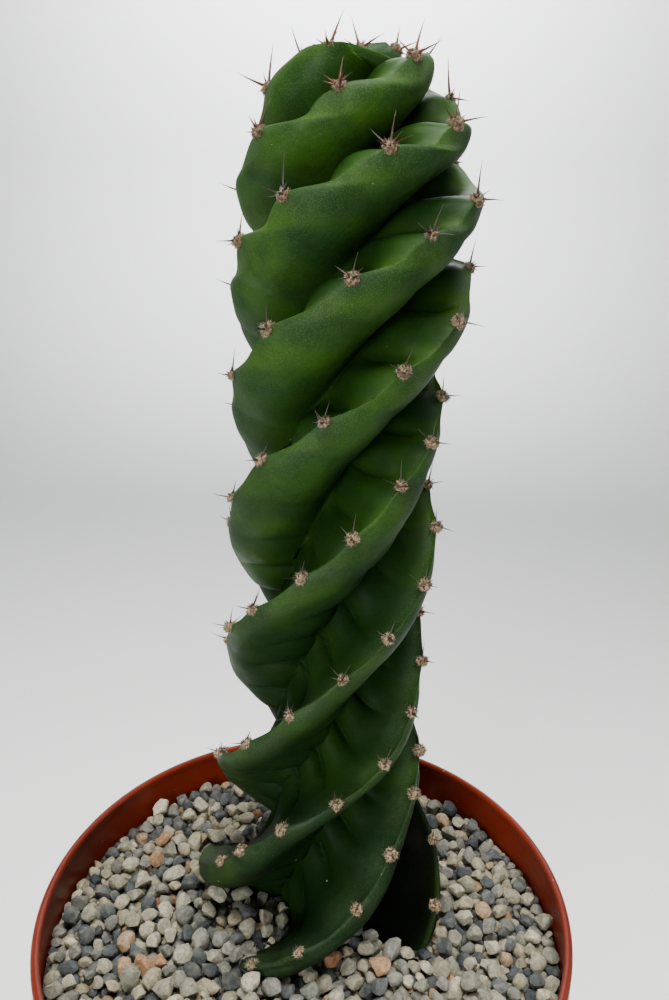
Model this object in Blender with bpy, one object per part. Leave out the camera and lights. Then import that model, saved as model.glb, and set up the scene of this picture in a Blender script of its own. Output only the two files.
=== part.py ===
# Spiral cactus standing in a thin-walled round nursery pot, under a dressing of grit.
# Metres, Z up. The origin is the centre of the pot's floor, on the surface the pot stands on.

import math
import random

import bmesh
import bpy
from mathutils import Matrix, Vector

# Pot
POT_HEIGHT = 0.120
POT_RIM_RADIUS = 0.0775
POT_BASE_RADIUS = 0.0530
POT_SHOULDER_RADIUS = 0.0735
POT_BAND_HEIGHT = 0.0250
POT_WALL = 0.0014
POT_LIP_WIDTH = 0.0022
POT_FLOOR = 0.0025
POT_FOOT_EDGE = 0.0020
POT_SEGMENTS = 48
DRAIN_HOLES = 6
DRAIN_HOLE_RADIUS = 0.0045
DRAIN_CIRCLE_RADIUS = 0.0340

# Gap left between solids that touch
SEAT_GAP = 0.0003

# Potting mix and grit
GRIT_LEVEL = POT_HEIGHT - 0.0090
GRIT_DEPTH = 0.0125
PEBBLE_SPACING = 0.0136
PEBBLE_RADIUS = (0.0065, 0.0078)
PEBBLE_LENGTHENING = (1.0, 1.2)
PEBBLE_FLATNESS = (0.55, 0.80)
PEBBLE_JITTER = 0.0012
PEBBLE_CLEARANCE = 1.32
PEBBLE_HEIGHT = 0.0040
GRIT_SEED = 11
STEM_CLEARANCE = 0.0009

# Stem: heights are above the grit
STEM_HEIGHT = 0.2360
RIBS = 4
RIB_PITCH = 360 / RIBS
STEM_ROWS = 70
ROW_STEP = STEM_HEIGHT / STEM_ROWS
ROOT_RADIUS = 0.0095
ROOT_TIP_RADIUS = 0.0060
ROOT_LENGTH = 0.0420
ROOT_TAPER = 0.0110

# Knots of the stem's smooth curves along its height
AXIS_X = ((0, 0.0045), (0.039, 0.0030), (0.119, 0.0065), (0.189, 0.0102), (STEM_HEIGHT, 0.0110))
AXIS_Y = ((0, 0.0134), (0.039, 0.0133), (0.119, 0.0142), (0.189, 0.0150), (STEM_HEIGHT, 0.0155))
TWIST = (
    (0, -42), (0.020, 13), (0.040, 62), (0.060, 126), (0.080, 172), (0.100, 220), (0.120, 269), (0.140, 314),
    (0.160, 377), (0.178, 427), (0.195, 486), (0.206, 527), (0.215, 576), (0.2255, 630), (0.2335, 676),
    (STEM_HEIGHT, 692),
)
CREST_RADIUS = (
    (0, 0.0403), (0.014, 0.0368), (0.029, 0.0322), (0.044, 0.0307), (0.059, 0.0304), (0.079, 0.0284),
    (0.099, 0.0292), (0.119, 0.0286), (0.139, 0.0279), (0.157, 0.0280), (0.174, 0.0305), (0.188, 0.0296),
    (0.199, 0.0307), (0.210, 0.0293), (0.217, 0.0274), (0.2255, 0.0231), (0.2335, 0.0178),
    (STEM_HEIGHT, 0.0158),
)
VALLEY_RADIUS = (
    (0, 0.0120), (0.039, 0.0115), (0.119, 0.0120), (0.199, 0.0125), (0.227, 0.0095), (STEM_HEIGHT, 0.0055),
)

# One rib's outline: degrees round from its crest, share of the way from valley to crest.
# Degrees below 0 are the short upper flank, and above 0 the long lower one. The young outline fades in over
# YOUNG_FROM, and the foot's sharp one fades out by FOOT_TO.
UPPER_FLANK = 30
LOWER_FLANK = RIB_PITCH - UPPER_FLANK
OLD_RIB = (
    (-UPPER_FLANK, 0), (-22, 0.13), (-14, 0.38), (-8, 0.72), (-3.5, 0.95), (0, 1), (5, 0.985),
    (10, 0.93), (15, 0.77), (21, 0.57), (30, 0.38), (44, 0.17), (LOWER_FLANK, 0),
)
YOUNG_RIB = (
    (-UPPER_FLANK, 0), (-24, 0.18), (-17, 0.50), (-10, 0.82), (-4.5, 0.97), (0, 1),
    (8, 0.985), (22, 0.92), (38, 0.74), (50, 0.46), (LOWER_FLANK, 0),
)
FOOT_RIB = (
    (-UPPER_FLANK, 0), (-22, 0.03), (-14, 0.14), (-8, 0.42), (-4, 0.86), (0, 1),
    (6, 0.96), (15, 0.76), (28, 0.42), (44, 0.16), (LOWER_FLANK, 0),
)
YOUNG_FROM = (0.049, 0.159)
FOOT_TO = 0.034
COLUMN_DEGREES = (-UPPER_FLANK, -16, -6, 0, 9, 20, 38)

# The foot of each rib swings round a little and straightens out above it, by these heights
FOOT_SWING = (0, 8, 22, 32)
FOOT_HEIGHT = (0.056, 0.056, 0.056, 0.075)

# Scallops: the crest swells out, back and up at each areole, more so the younger it is
SCALLOP_SIZE = ((0, 0.20), (0.060, 0.28), (0.110, 0.45), (0.150, 0.70), (0.190, 0.90), (STEM_HEIGHT, 0.95))
SCALLOP_PEAK = -0.02
SCALLOP_OUT = 0.0006
SCALLOP_SWING = 1.45
SCALLOP_LIFT = 0.0010

# Crown: the top ring is drawn in by these shares to the growing point, and turns as it dives there
CROWN_INWARD = (0.18, 0.38, 0.60, 0.82)
CROWN_TURN = 45
CROWN_DIP = 0.0080

# Areoles: how many each rib has passed by each height
AREOLES_PASSED = (
    (
        (0, 0.35), (0.0060, 1), (0.0153, 2), (0.1032, 11), (0.1145, 12), (0.1249, 13), (0.1367, 14),
        (0.1457, 15), (0.1555, 16), (0.2155, 22), (0.2234, 23), (0.2317, 24), (STEM_HEIGHT, 24.5),
    ),
    (
        (0, 0.70), (0.0025, 1), (0.0099, 2), (0.0201, 3), (0.0304, 4), (0.0416, 5), (0.0485, 6), (0.1290, 14),
        (0.1423, 15), (0.1529, 16), (0.1645, 17), (0.1755, 18), (0.1880, 19), (0.2274, 23),
        (STEM_HEIGHT, 24.05),
    ),
    (
        (0, 0.10), (0.0235, 3), (0.0312, 4), (0.0425, 5), (0.0516, 6), (0.0600, 7), (0.0700, 8), (0.0801, 9),
        (0.1610, 17), (0.1734, 18), (0.1848, 19), (0.1941, 20), (0.2026, 21), (0.2144, 22), (0.2300, 24),
        (STEM_HEIGHT, 24.7),
    ),
    (
        (0, 0.15), (0.0081, 1), (0.0541, 6), (0.0641, 7), (0.0758, 8), (0.0872, 9), (0.0970, 10), (0.1080, 11),
        (0.1198, 12), (0.1289, 13), (0.1926, 19), (0.2015, 20), (0.2108, 21), (0.2176, 22), (0.2276, 23),
        (STEM_HEIGHT, 23.9),
    ),
)
AREOLE_LOWEST = 0.0085
AREOLE_HIGHEST = 0.2335
AREOLE_RADIUS = 0.0023
AREOLE_THICKNESS = 0.0014
AREOLE_SIDES = 4

# Spines of each areole: degrees round the areole from straight up, lean from its face, share of full length
SPINES = ((0, 52, 1.0), (125, 62, 0.85), (235, 62, 0.9))
SPINE_LENGTH = ((0, 0.0035), (0.080, 0.0052), (0.160, 0.0062), (STEM_HEIGHT, 0.0085))
SPINE_LOWEST = 0.0140
THIRD_SPINE_FROM = 0.1000
SPINE_RADIUS = 0.00045
SPINE_ROOT = 0.0012
SPINE_JITTER = 14
SPINE_SEED = 4


def clear_scene():
    for old in list(bpy.data.objects):
        bpy.data.objects.remove(old, do_unlink=True)


def material(name, colour, roughness):
    made = bpy.data.materials.new(name)
    made.use_nodes = True
    shader = made.node_tree.nodes["Principled BSDF"]
    shader.inputs["Base Color"].default_value = (*colour, 1)
    shader.inputs["Roughness"].default_value = roughness
    shader.inputs["Metallic"].default_value = 0
    return made


def object_from(name, shape, surface=None):
    """Object of the scene made from a bmesh, which is freed."""
    mesh = bpy.data.meshes.new(name)
    shape.to_mesh(mesh)
    shape.free()
    made = bpy.data.objects.new(name, mesh)
    if surface:
        mesh.materials.append(surface)
    bpy.context.scene.collection.objects.link(made)
    return made


def ring_skin(name, rings, surface=None, bottom_cap=None, top_cap=None):
    """Closed skin over rings of points, each ring anticlockwise from above and the lowest first."""
    shape = bmesh.new()
    loops = [[shape.verts.new(point) for point in ring] for ring in rings]
    count = len(loops[0])
    for low, high in zip(loops, loops[1:]):
        for i in range(count):
            j = (i + 1) % count
            shape.faces.new((low[i], low[j], high[j], high[i]))
    for loop, centre, outward in ((loops[0], bottom_cap, -1), (loops[-1], top_cap, 1)):
        pole = shape.verts.new(centre or sum((v.co for v in loop), Vector()) / count)
        for i in range(count):
            j = (i + 1) % count
            edge = (loop[i], loop[j]) if outward > 0 else (loop[j], loop[i])
            shape.faces.new((*edge, pole))
    return object_from(name, shape, surface)


def turned(name, profile, segments, surface):
    """Solid turned from (radius, z) points that run from the axis, up its outside and back to the axis."""
    (_, start_z), *middle, (_, end_z) = profile
    rings = []
    for radius, z in middle:
        turns = (math.tau * i / segments for i in range(segments))
        rings.append([Vector((radius * math.cos(a), radius * math.sin(a), z)) for a in turns])
    return ring_skin(name, rings, surface, Vector((0, 0, start_z)), Vector((0, 0, end_z)))


def smooth_curve(knots, x):
    """Value at x of the smooth curve through (x, value) knots, held level past both ends."""
    if x <= knots[0][0]:
        return knots[0][1]
    if x >= knots[-1][0]:
        return knots[-1][1]
    last = len(knots) - 1
    k = next(i for i in range(last) if x < knots[i + 1][0])

    def slope(i):
        before, after = knots[max(i - 1, 0)], knots[min(i + 1, last)]
        return (after[1] - before[1]) / (after[0] - before[0])

    (x0, y0), (x1, y1) = knots[k], knots[k + 1]
    span = x1 - x0
    t = (x - x0) / span
    return (
        y0 * (1 + 2 * t) * (1 - t) ** 2
        + slope(k) * span * t * (1 - t) ** 2
        + y1 * t * t * (3 - 2 * t)
        - slope(k + 1) * span * t * t * (1 - t)
    )


def ease(start, end, x):
    t = min(max((x - start) / (end - start), 0), 1)
    return t * t * (3 - 2 * t)


def apply_modifiers(target):
    evaluated = target.evaluated_get(bpy.context.evaluated_depsgraph_get())
    mesh = bpy.data.meshes.new_from_object(evaluated)
    target.modifiers.clear()
    target.data = mesh


def boolean(target, operation, solver, cutter=None, collection=None):
    cut = target.modifiers.new(operation.title(), "BOOLEAN")
    cut.operation = operation
    cut.solver = solver
    if collection:
        cut.operand_type = "COLLECTION"
        cut.collection = collection
    else:
        cut.object = cutter


def fuse_all(target, pieces):
    """Joins the pieces to the target in one union, then removes them."""
    group = bpy.data.collections.new(target.name + " repeats")
    bpy.context.scene.collection.children.link(group)
    for piece in pieces:
        bpy.context.scene.collection.objects.unlink(piece)
        group.objects.link(piece)
    boolean(target, "UNION", "MANIFOLD", collection=group)
    apply_modifiers(target)
    for piece in pieces:
        bpy.data.objects.remove(piece, do_unlink=True)
    bpy.data.collections.remove(group)


def keep_largest_piece(target):
    """Drops loose scraps that a cut leaves behind."""
    shape = bmesh.new()
    shape.from_mesh(target.data)
    unseen = set(shape.verts)
    islands = []
    while unseen:
        front = [unseen.pop()]
        island = list(front)
        while front:
            vert = front.pop()
            for edge in vert.link_edges:
                other = edge.other_vert(vert)
                if other in unseen:
                    unseen.remove(other)
                    front.append(other)
                    island.append(other)
        islands.append(island)
    islands.sort(key=len)
    for scrap in islands[:-1]:
        bmesh.ops.delete(shape, geom=scrap, context="VERTS")
    shape.to_mesh(target.data)
    shape.free()


# Pot, from its outside to its inside

def pot_inside(gap):
    """Radius and height of the inner wall's corners, drawn in by a gap."""
    band_foot = POT_HEIGHT - POT_BAND_HEIGHT
    return (
        (POT_BASE_RADIUS - POT_WALL - gap, POT_FLOOR + gap),
        (POT_SHOULDER_RADIUS - POT_WALL - gap, band_foot),
        (POT_RIM_RADIUS - POT_WALL - gap, band_foot + 2 * POT_WALL),
    )


def pot_profile():
    band_foot = POT_HEIGHT - POT_BAND_HEIGHT
    lip = POT_LIP_WIDTH / 2
    lip_centre = POT_RIM_RADIUS - lip
    outside = [
        (0, 0),
        (POT_BASE_RADIUS - POT_FOOT_EDGE, 0),
        (POT_BASE_RADIUS, POT_FOOT_EDGE),
        (POT_SHOULDER_RADIUS, band_foot),
        (POT_RIM_RADIUS - POT_WALL / 2, band_foot + POT_WALL / 2),
        (POT_RIM_RADIUS, band_foot + 2 * POT_WALL),
    ]
    bead = [
        (lip_centre + lip * math.cos(a), POT_HEIGHT - lip + lip * math.sin(a))
        for a in (math.radians(d) for d in range(0, 181, 45))
    ]
    under_bead = (POT_RIM_RADIUS - POT_WALL, POT_HEIGHT - 2 * lip)
    inside = list(reversed(pot_inside(0)))
    return outside + bead + [under_bead] + inside + [(0, POT_FLOOR)]


def make_pot(surface):
    pot = turned("pot", pot_profile(), POT_SEGMENTS, surface)
    for i in range(DRAIN_HOLES):
        angle = math.tau * i / DRAIN_HOLES
        shape = bmesh.new()
        bmesh.ops.create_cone(
            shape, cap_ends=True, segments=12, radius1=DRAIN_HOLE_RADIUS,
            radius2=DRAIN_HOLE_RADIUS, depth=4 * POT_FLOOR,
        )
        drill = object_from(f"drain_cutter_{i}", shape)
        drill.location = (DRAIN_CIRCLE_RADIUS * math.cos(angle), DRAIN_CIRCLE_RADIUS * math.sin(angle), 0)
        drill.hide_render = True
        drill.display_type = "WIRE"
        boolean(pot, "DIFFERENCE", "MANIFOLD", cutter=drill)
    pot.data.shade_smooth()
    pot.data.set_sharp_from_angle(angle=math.radians(35))
    return pot


# Stem surface

def stem_axis(height):
    return Vector((smooth_curve(AXIS_X, height), smooth_curve(AXIS_Y, height), 0))


def stem_point(rib, degrees, height):
    """Point of the stem's skin, at so many degrees round from a rib's crest. Ribs are numbered clockwise."""
    youth = ease(*YOUNG_FROM, height)
    footing = 1 - ease(0, FOOT_TO, height)
    share = (1 - youth) * smooth_curve(OLD_RIB, degrees) + youth * smooth_curve(YOUNG_RIB, degrees)
    share = (1 - footing) * share + footing * smooth_curve(FOOT_RIB, degrees)
    valley = smooth_curve(VALLEY_RADIUS, height)
    crest = smooth_curve(CREST_RADIUS, height)

    if degrees < 0:
        hold = 1 - ease(0.55, 1, -degrees / UPPER_FLANK)
    else:
        hold = 1 - ease(0, 0.8, degrees / LOWER_FLANK)
    passed = smooth_curve(AREOLES_PASSED[rib], height)
    scallop = smooth_curve(SCALLOP_SIZE, height) * hold * math.cos(math.tau * (passed - SCALLOP_PEAK))

    swing = FOOT_SWING[rib] * share * (1 - ease(0, FOOT_HEIGHT[rib], height)) - SCALLOP_SWING * scallop
    turn = math.radians(smooth_curve(TWIST, height) - RIB_PITCH * rib + degrees + swing)
    radius = valley + (crest - valley) * share + SCALLOP_OUT * scallop
    spot = stem_axis(height) + radius * Vector((math.cos(turn), math.sin(turn), 0))
    spot.z = GRIT_LEVEL + height + SCALLOP_LIFT * scallop
    return spot


def stem_ring(height):
    """Ring of the skin, anticlockwise: the ribs are taken backwards because they are numbered clockwise."""
    return [stem_point(rib, degrees, height) for rib in reversed(range(RIBS)) for degrees in COLUMN_DEGREES]


def crown_ring(inward):
    """Top ring drawn in towards the growing point by a share, where the ribs curl over and dive."""
    rim = stem_ring(STEM_HEIGHT)
    middle = stem_axis(STEM_HEIGHT)
    level = sum(point.z for point in rim) / len(rim)
    curl = Matrix.Rotation(math.radians(CROWN_TURN) * inward, 3, "Z")
    ring = []
    for point in rim:
        spot = middle + (1 - inward) * (curl @ (point - middle))
        spot.z = point.z + (level - point.z) * inward - CROWN_DIP * ease(0, 1, inward)
        ring.append(spot)
    return ring


def root_ring(depth, radius):
    """Round ring of the stub below the grit, whose points keep the winged ring's directions."""
    middle = stem_axis(0)
    ring = []
    for point in stem_ring(0):
        away = (point - middle) * Vector((1, 1, 0))
        spot = middle + radius * away.normalized()
        spot.z = GRIT_LEVEL - depth
        ring.append(spot)
    return ring


def buttress_ring(depth):
    """Ring where the ribs' feet draw in towards the stub."""
    blend = ease(0, ROOT_TAPER, depth)
    winged = stem_ring(0)
    stub = root_ring(depth, ROOT_RADIUS)
    ring = []
    for wide, narrow in zip(winged, stub):
        spot = wide.lerp(narrow, blend)
        spot.z = GRIT_LEVEL - depth
        ring.append(spot)
    return ring


def stem_rings(top=STEM_HEIGHT):
    """Rings from the root's tip up to the top of the ribs, or up to a lower height."""
    rings = [
        root_ring(ROOT_LENGTH, ROOT_TIP_RADIUS),
        root_ring(ROOT_LENGTH - ROOT_RADIUS / 2, ROOT_RADIUS),
        buttress_ring(ROOT_TAPER),
        buttress_ring(ROOT_TAPER * 0.66),
        buttress_ring(ROOT_TAPER * 0.33),
    ]
    heights = [STEM_HEIGHT * i / STEM_ROWS for i in range(STEM_ROWS + 1)]
    return rings + [stem_ring(h) for h in heights if h <= top]


def crest_frame(rib, height):
    """Place of a crest point, the way it faces and the way up along its face."""
    spot = stem_point(rib, 0, height)
    along = (stem_point(rib, 0, height + ROW_STEP) - stem_point(rib, 0, height - ROW_STEP)).normalized()
    upper_side, lower_side = (stem_point(rib, COLUMN_DEGREES[i], height) for i in (2, 4))
    across = (lower_side - upper_side).normalized()
    outward = across.cross(along).normalized()
    upward = (Vector((0, 0, 1)) - outward * outward.z).normalized()
    return spot, outward, upward


def areole_heights(rib):
    """Heights at which the rib's count of areoles passes a whole number."""
    step = ROW_STEP / 20
    height = AREOLE_LOWEST
    while height < AREOLE_HIGHEST:
        low, high = (smooth_curve(AREOLES_PASSED[rib], h) for h in (height, height + step))
        if math.floor(low) < math.floor(high):
            yield height
        height += step


def areole_pad(name, spot, outward, upward):
    """Low pointed cushion, sunk by half into the crest."""
    sideways = upward.cross(outward)
    shape = bmesh.new()
    rim = []
    for i in range(AREOLE_SIDES):
        a = math.tau * i / AREOLE_SIDES
        way = math.cos(a) * upward + math.sin(a) * sideways
        rim.append(shape.verts.new(spot + AREOLE_RADIUS * way))
    front = shape.verts.new(spot + AREOLE_THICKNESS * outward)
    back = shape.verts.new(spot - AREOLE_THICKNESS * outward)
    for a, b in zip(rim, rim[1:] + rim[:1]):
        shape.faces.new((a, b, front))
        shape.faces.new((b, a, back))
    bmesh.ops.recalc_face_normals(shape, faces=shape.faces)
    return object_from(name, shape)


def spine(name, foot, way, length):
    """Three-sided needle with its root sunk into the areole."""
    shape = bmesh.new()
    side = way.orthogonal().normalized()
    other = way.cross(side)
    base = foot - SPINE_ROOT * way
    corners = []
    for i in range(3):
        a = math.tau * i / 3
        corners.append(shape.verts.new(base + SPINE_RADIUS * (math.cos(a) * side + math.sin(a) * other)))
    tip = shape.verts.new(foot + length * way)
    shape.faces.new(corners)
    for a, b in zip(corners, corners[1:] + corners[:1]):
        shape.faces.new((a, b, tip))
    bmesh.ops.recalc_face_normals(shape, faces=shape.faces)
    return object_from(name, shape)


def areole_pieces(stem):
    """Pads and spines of every rib, seated on the stem's own skin."""
    chance = random.Random(SPINE_SEED)
    pieces = []
    for rib in range(RIBS):
        for height in areole_heights(rib):
            crest, outward, upward = crest_frame(rib, height)
            _, spot, _, _ = stem.closest_point_on_mesh(crest)
            pieces.append(areole_pad("areole", spot, outward, upward))
            if height < SPINE_LOWEST:
                continue
            count = len(SPINES) if height > THIRD_SPINE_FROM else len(SPINES) - 1
            for round_from_up, lean, share in SPINES[:count]:
                a = math.radians(round_from_up + chance.uniform(-SPINE_JITTER, SPINE_JITTER))
                tilt = math.radians(lean + chance.uniform(-SPINE_JITTER, SPINE_JITTER) / 2)
                face_way = math.cos(a) * upward + math.sin(a) * upward.cross(outward)
                way = math.cos(tilt) * outward + math.sin(tilt) * face_way
                length = share * smooth_curve(SPINE_LENGTH, height) * chance.uniform(0.8, 1.1)
                pieces.append(spine("spine", spot + AREOLE_THICKNESS / 2 * outward, way, length))
    return pieces


def make_stem(surface):
    rings = stem_rings() + [crown_ring(inward) for inward in CROWN_INWARD]
    stem = ring_skin("stem", rings, surface)
    fuse_all(stem, areole_pieces(stem))
    stem.data.shade_smooth()
    stem.data.set_sharp_from_angle(angle=math.radians(40))
    return stem


# Fill of the pot

def make_soil(surface):
    """Potting mix up to the grit, with a plain round hole for the stub."""
    (floor_radius, floor_z), shoulder, band = pot_inside(SEAT_GAP)
    top = GRIT_LEVEL - GRIT_DEPTH - SEAT_GAP
    profile = [(0, floor_z), (floor_radius, floor_z), shoulder, band, (band[0], top), (0, top)]
    soil = turned("soil", profile, POT_SEGMENTS, surface)
    hole_depth = ROOT_LENGTH - GRIT_DEPTH
    shape = bmesh.new()
    bmesh.ops.create_cone(
        shape, cap_ends=True, segments=24, radius1=ROOT_RADIUS + 2 * SEAT_GAP,
        radius2=ROOT_RADIUS + 2 * SEAT_GAP, depth=2 * hole_depth,
    )
    dibber = object_from("root_hole_cutter", shape)
    dibber.location = stem_axis(0) + Vector((0, 0, top))
    dibber.hide_render = True
    dibber.display_type = "WIRE"
    boolean(soil, "DIFFERENCE", "EXACT", cutter=dibber)
    return soil


def pebble(name, spot, radius, chance):
    """Rough twelve-cornered stone."""
    shape = bmesh.new()
    bmesh.ops.create_icosphere(shape, subdivisions=1, radius=radius)
    flat = chance.uniform(*PEBBLE_FLATNESS)
    long = chance.uniform(*PEBBLE_LENGTHENING)
    turn = chance.uniform(0, math.tau)
    for vert in shape.verts:
        rough = Vector([chance.uniform(0.88, 1.08) for _ in range(3)])
        vert.co = vert.co * rough * Vector((long, 1, flat))
    bmesh.ops.rotate(shape, verts=shape.verts, matrix=Matrix.Rotation(turn, 3, "Z"))
    bmesh.ops.translate(shape, verts=shape.verts, vec=spot)
    return object_from(name, shape)


def pebbles():
    """Stones on a jittered triangular grid, those past the pot's wall drawn in against it."""
    chance = random.Random(GRIT_SEED)
    reach = pot_inside(SEAT_GAP)[-1][0]
    row_gap = PEBBLE_SPACING * math.sqrt(3) / 2
    rows = int(reach / row_gap) + 1
    stones = []
    for row in range(-rows, rows + 1):
        shift = PEBBLE_SPACING / 2 * (row % 2)
        for step in range(-rows - 1, rows + 2):
            spot = Vector((step * PEBBLE_SPACING + shift, row * row_gap, 0))
            spot += PEBBLE_JITTER * Vector([chance.uniform(-1, 1) for _ in range(3)])
            radius = chance.uniform(*PEBBLE_RADIUS)
            limit = reach - PEBBLE_CLEARANCE * radius
            distance = math.hypot(spot.x, spot.y)
            if distance > reach:
                continue
            if distance > limit:
                spot.xy *= limit / distance
            spot.z += GRIT_LEVEL - PEBBLE_HEIGHT
            stones.append(pebble("pebble", spot, radius, chance))
    return stones


def make_gravel(surface):
    """Bed of grit with its stones standing in relief, cut clear of the stem."""
    reach = pot_inside(SEAT_GAP)[-1][0]
    bottom = GRIT_LEVEL - GRIT_DEPTH
    top = GRIT_LEVEL - PEBBLE_HEIGHT
    profile = [(0, bottom), (reach, bottom), (reach, top), (0, top)]
    gravel = turned("gravel", profile, POT_SEGMENTS, surface)
    fuse_all(gravel, pebbles())

    cutter = ring_skin("stem_clearance_cutter", stem_rings(top=AREOLE_LOWEST + ROW_STEP))
    shape = bmesh.new()
    shape.from_mesh(cutter.data)
    shape.normal_update()
    for vert in shape.verts:
        vert.co += vert.normal * STEM_CLEARANCE
    shape.to_mesh(cutter.data)
    shape.free()
    boolean(gravel, "DIFFERENCE", "MANIFOLD", cutter=cutter)
    apply_modifiers(gravel)
    bpy.data.objects.remove(cutter, do_unlink=True)
    keep_largest_piece(gravel)
    return gravel


clear_scene()
make_pot(material("Terracotta-coloured plastic", (0.30, 0.055, 0.020), 0.42))
make_soil(material("Potting mix", (0.035, 0.022, 0.014), 0.95))
make_gravel(material("Mixed grit", (0.33, 0.32, 0.29), 0.75))
make_stem(material("Waxy green skin", (0.045, 0.115, 0.030), 0.50))
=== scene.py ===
# Spiral cactus in a terracotta-coloured nursery pot, dressed with mixed grit.
# The looks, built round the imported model: metres, Z up, with the camera on the -Y side.

import math

import bpy
import numpy as np
from mathutils import Matrix, Vector, noise
from mathutils.bvhtree import BVHTree


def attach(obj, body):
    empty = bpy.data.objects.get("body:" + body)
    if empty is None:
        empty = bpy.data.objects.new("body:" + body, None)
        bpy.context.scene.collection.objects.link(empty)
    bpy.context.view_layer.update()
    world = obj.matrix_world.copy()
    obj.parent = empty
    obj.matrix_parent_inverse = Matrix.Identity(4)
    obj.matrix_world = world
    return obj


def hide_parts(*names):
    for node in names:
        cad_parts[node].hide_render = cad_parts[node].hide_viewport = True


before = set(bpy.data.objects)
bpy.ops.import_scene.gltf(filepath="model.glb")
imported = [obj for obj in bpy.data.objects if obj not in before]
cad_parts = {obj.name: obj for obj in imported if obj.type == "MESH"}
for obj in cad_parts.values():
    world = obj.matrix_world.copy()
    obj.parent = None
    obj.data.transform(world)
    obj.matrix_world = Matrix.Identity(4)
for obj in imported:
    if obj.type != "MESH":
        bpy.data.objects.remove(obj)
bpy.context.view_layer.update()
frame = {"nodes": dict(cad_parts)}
print("frame loaded:", ", ".join(frame["nodes"]))


# Small helpers

def srgb(code):
    parts = [int(code[i:i + 2], 16) / 255 for i in (1, 3, 5)]
    return (*(c / 12.92 if c <= 0.04045 else ((c + 0.055) / 1.055) ** 2.4 for c in parts), 1)


def connect(tree, node, links):
    # a socket is given a node's first output, another socket or a plain value
    for socket, value in links.items():
        if isinstance(value, bpy.types.Node):
            value = value.outputs[0]
        if isinstance(value, bpy.types.NodeSocket):
            tree.links.new(value, node.inputs[socket])
        else:
            node.inputs[socket].default_value = value


def addNode(tree, kind, links=None, stops=(), **settings):
    # stops are a colour ramp's places and colours, the lowest first
    node = tree.nodes.new(kind)
    for name, value in settings.items():
        setattr(node, name, value)
    if stops:
        elements = node.color_ramp.elements
        for element, (place, code) in zip(elements, (stops[0], stops[-1])):
            element.position, element.color = place, srgb(code)
        for place, code in stops[1:-1]:
            elements.new(place).color = srgb(code)
    connect(tree, node, links or {})
    return node


def newMaterial(name, finish):
    # the last thing given back is the place on the object, which the patterns follow
    made = bpy.data.materials.new(name)
    made.use_nodes = True
    tree = made.node_tree
    shader = tree.nodes["Principled BSDF"]
    connect(tree, shader, finish)
    return made, tree, shader, addNode(tree, "ShaderNodeTexCoord").outputs["Object"]


def smoothCurve(knots, x):
    xs, ys = np.array(knots, float).T
    slopes = np.empty_like(ys)
    slopes[1:-1] = (ys[2:] - ys[:-2]) / (xs[2:] - xs[:-2])
    slopes[0] = (ys[1] - ys[0]) / (xs[1] - xs[0])
    slopes[-1] = (ys[-1] - ys[-2]) / (xs[-1] - xs[-2])
    x = np.clip(x, xs[0], xs[-1])
    k = np.clip(np.searchsorted(xs, x, side="right") - 1, 0, len(xs) - 2)
    span = xs[k + 1] - xs[k]
    t = (x - xs[k]) / span
    start = ys[k] * (1 + 2 * t) + slopes[k] * span * t
    end = ys[k + 1] * (3 - 2 * t) - slopes[k + 1] * span * (1 - t)
    return start * (1 - t) ** 2 + end * t * t


def ease(start, end, x):
    t = np.clip((x - start) / (end - start), 0, 1)
    return t * t * (3 - 2 * t)


def window(reach, x):
    # rises over the first two places and falls over the last two
    return ease(reach[0], reach[1], x) * (1 - ease(reach[2], reach[3], x))


def meshObject(name, points, faces, material=None):
    mesh = bpy.data.meshes.new(name)
    mesh.from_pydata([tuple(p) for p in points], [], [tuple(f) for f in faces])
    mesh.update()
    if material:
        mesh.materials.append(material)
    made = bpy.data.objects.new(name, mesh)
    bpy.context.scene.collection.objects.link(made)
    return made


def ringFaces(rings, count):
    # quads between rings of points, and a fan at either end round the two points that follow the rings
    faces = []
    for base in range(0, (rings - 1) * count, count):
        for i in range(count):
            j = (i + 1) % count
            faces.append((base + i, base + j, base + count + j, base + count + i))
    last, lowPole = (rings - 1) * count, rings * count
    for i in range(count):
        j = (i + 1) % count
        faces += [(j, i, lowPole), (last + i, last + j, lowPole + 1)]
    return faces


def turnedObject(name, profile, count, material=None, middle=(0, 0)):
    # a profile of radii and heights turned round an upright axis
    points = []
    for radius, z in profile:
        for i in range(count):
            a = math.tau * i / count
            points.append((middle[0] + radius * math.cos(a), middle[1] + radius * math.sin(a), z))
    points += [(*middle, profile[0][1]), (*middle, profile[-1][1])]
    return meshObject(name, points, ringFaces(len(profile), count), material)


def storeValues(mesh, name, values, kind="FLOAT"):
    numbers = np.asarray(values, np.int32 if kind == "INT" else np.float32).ravel()
    slot = "vector" if kind == "FLOAT_VECTOR" else "value"
    mesh.attributes.new(name, kind, "POINT").data.foreach_set(slot, numbers)


def growWith(obj, name, build, inputs):
    # builds a tree with these inputs, runs it on the object and keeps the result as a plain mesh
    tree = bpy.data.node_groups.new(name, "GeometryNodeTree")
    tree.interface.new_socket("Geometry", in_out="INPUT", socket_type="NodeSocketGeometry")
    for label, value in inputs.items():
        kind = "NodeSocket" + type(value).__name__.title()  # Float, Int or Material
        tree.interface.new_socket(label, in_out="INPUT", socket_type=kind)
    tree.interface.new_socket("Geometry", in_out="OUTPUT", socket_type="NodeSocketGeometry")
    given = addNode(tree, "NodeGroupInput").outputs
    solid = addNode(tree, "GeometryNodeRealizeInstances", {0: build(tree, given)})
    smooth = addNode(tree, "GeometryNodeSetShadeSmooth", {0: solid})
    dressed = addNode(tree, "GeometryNodeSetMaterial", {0: smooth, 2: given["Material"]})
    addNode(tree, "NodeGroupOutput", {0: dressed})

    modifier = obj.modifiers.new(name, "NODES")
    modifier.node_group = tree
    for item in tree.interface.items_tree:
        if item.in_out == "INPUT" and item.name in inputs:
            modifier[item.identifier] = inputs[item.name]
    keepEvaluated(obj)


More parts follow.
